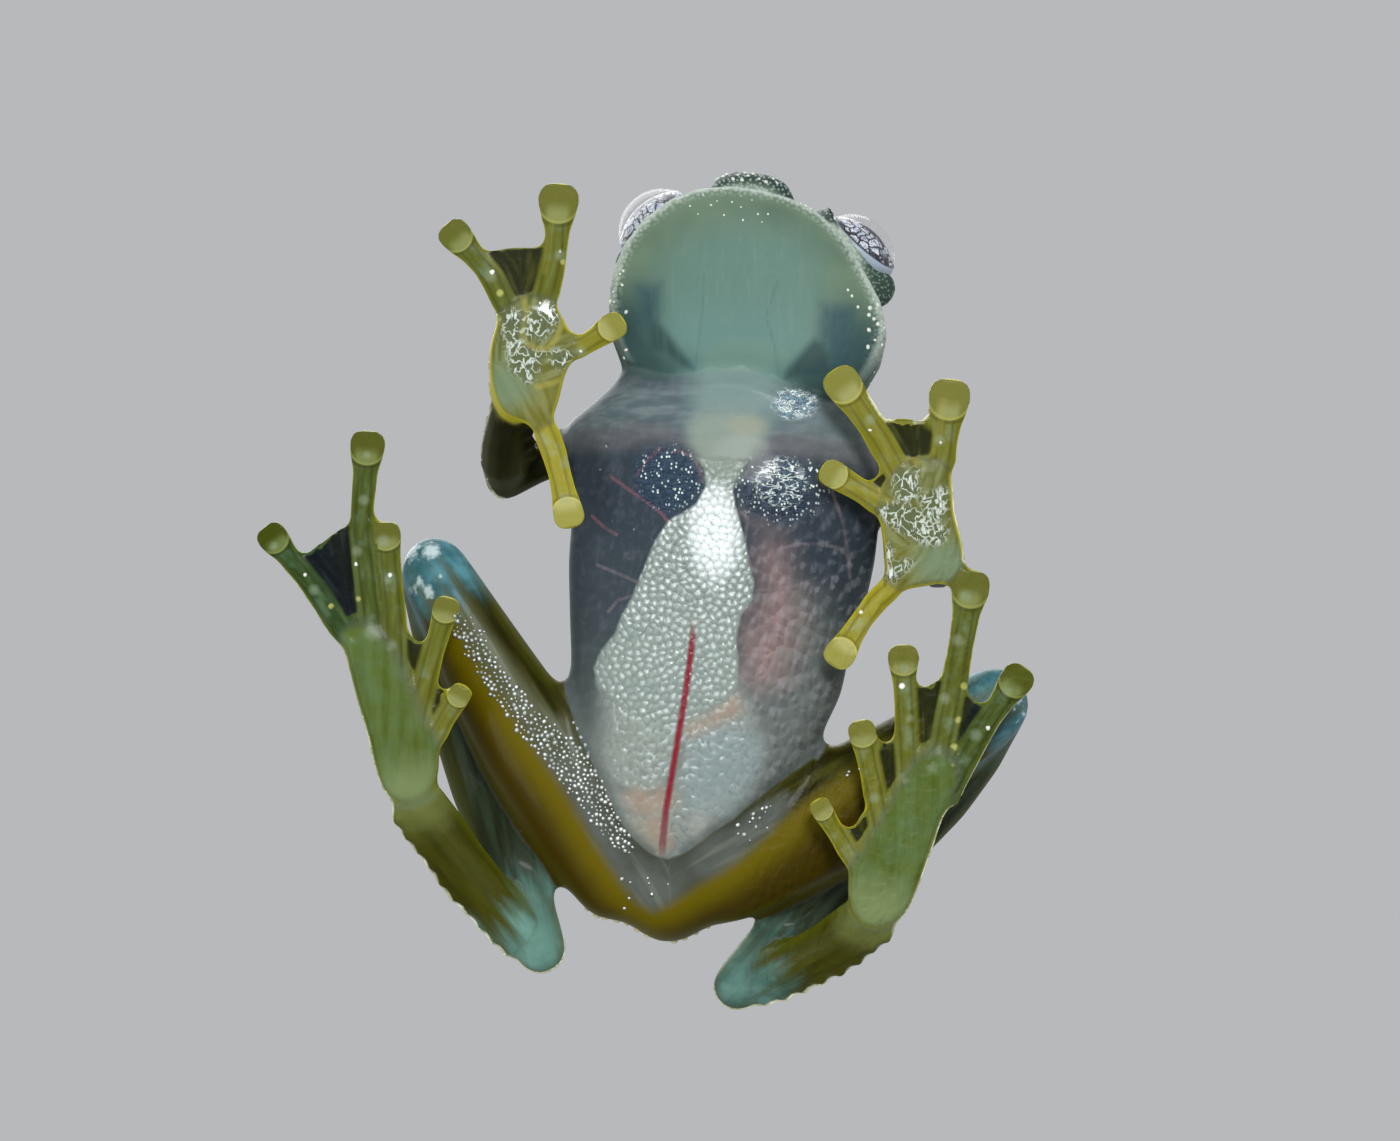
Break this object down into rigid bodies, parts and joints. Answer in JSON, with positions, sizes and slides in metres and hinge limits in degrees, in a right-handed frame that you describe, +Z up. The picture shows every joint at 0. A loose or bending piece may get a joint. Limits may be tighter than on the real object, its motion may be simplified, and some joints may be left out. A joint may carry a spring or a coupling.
{
  "type": "glass frog model",
  "caption": "Still, life-size model of a glass frog clinging flat with splayed limbs, disc-tipped digits, webbed feet and silver eyes.",
  "frame": {"origin": "on the floor, under the middle of the model's outline", "axes": "+Z up through the back, -Y towards the snout, +X to the frog's own left"},
  "size_m": [0.0314, 0.0344, 0.0084],
  "materials": {
    "skin_head": "smooth moist pale mint skin, white-dotted lip",
    "skin_belly": "clear moist skin over pearly granular belly, lilac grey flanks",
    "skin_arm": "moist olive skin with white scalloped edge",
    "skin_thigh": "amber skin with white granules below",
    "skin_shank": "moist blue-green skin, teal at the joints",
    "skin_foot": "translucent olive-yellow skin, wet and finely creased",
    "skin_disc": "translucent yellow skin with brighter rims",
    "eye": "silver iris with black net under a clear cornea"
  },
  "bodies": {
    "root": {"head": "skin_head", "lower_jaw": "skin_head", "eye_right": "eye", "eye_left": "eye", "trunk": "skin_belly", "pelvis": "skin_belly", "upper_arm_right": "skin_arm", "forearm_right": "skin_arm", "hand_right": "skin_foot", "finger_1_right": "skin_disc", "finger_2_right": "skin_disc", "finger_3_right": "skin_disc", "finger_4_right": "skin_disc", "thigh_right": "skin_thigh", "shank_right": "skin_shank", "tarsus_right": "skin_shank", "foot_right": "skin_foot", "toe_1_right": "skin_disc", "toe_2_right": "skin_disc", "toe_3_right": "skin_disc", "toe_4_right": "skin_disc", "toe_5_right": "skin_disc", "upper_arm_left": "skin_arm", "forearm_left": "skin_arm", "hand_left": "skin_foot", "finger_1_left": "skin_disc", "finger_2_left": "skin_disc", "finger_3_left": "skin_disc", "finger_4_left": "skin_disc", "thigh_left": "skin_thigh", "shank_left": "skin_shank", "tarsus_left": "skin_shank", "foot_left": "skin_foot", "toe_1_left": "skin_disc", "toe_2_left": "skin_disc", "toe_3_left": "skin_disc", "toe_4_left": "skin_disc", "toe_5_left": "skin_disc"}
  },
  "joints": []
}
